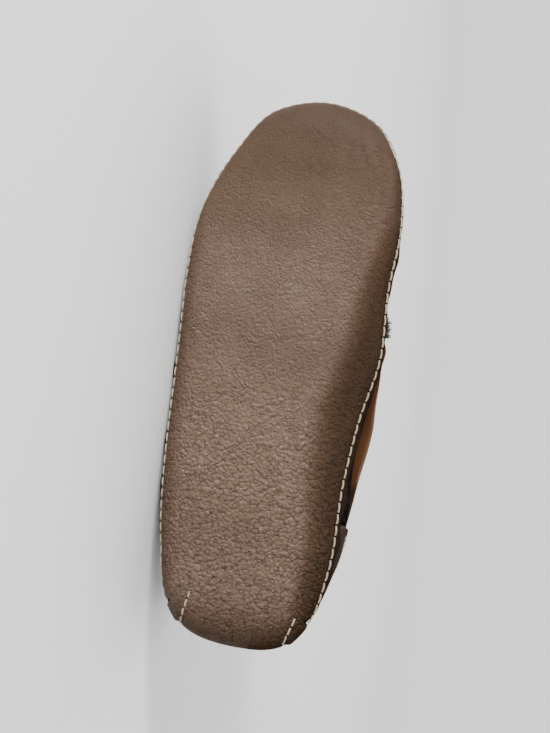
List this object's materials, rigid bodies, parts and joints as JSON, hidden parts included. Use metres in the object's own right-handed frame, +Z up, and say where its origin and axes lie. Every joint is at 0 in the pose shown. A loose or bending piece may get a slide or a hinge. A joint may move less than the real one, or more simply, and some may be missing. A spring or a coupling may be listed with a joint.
{
  "type": "lined slipper",
  "caption": "Moccasin slipper for the right foot with a soft wrapped leather sole, stitched edge, hollow leather upper, heel counter and pile-trimmed collar, lying on its outer side.",
  "frame": {"origin": "on the floor under the middle of the shoe's box, as it lies on its outer side", "axes": "+X from toe to heel along the shoe's length, -Y the way the sole faces, +Z up from the floor to the shoe's inner (medial) side"},
  "size_m": [0.2818, 0.0768, 0.1072],
  "materials": {
    "sole_leather": "satin",
    "tan_leather": "satin",
    "insole_pile": "matte",
    "counter_leather": "satin",
    "welt_strip": "matte",
    "trim_pile": "matte"
  },
  "bodies": {
    "root": {"sole": "sole_leather", "upper": "tan_leather", "insole": "insole_pile", "counter": "counter_leather", "welt": "welt_strip", "collar_trim": "trim_pile"}
  },
  "joints": []
}
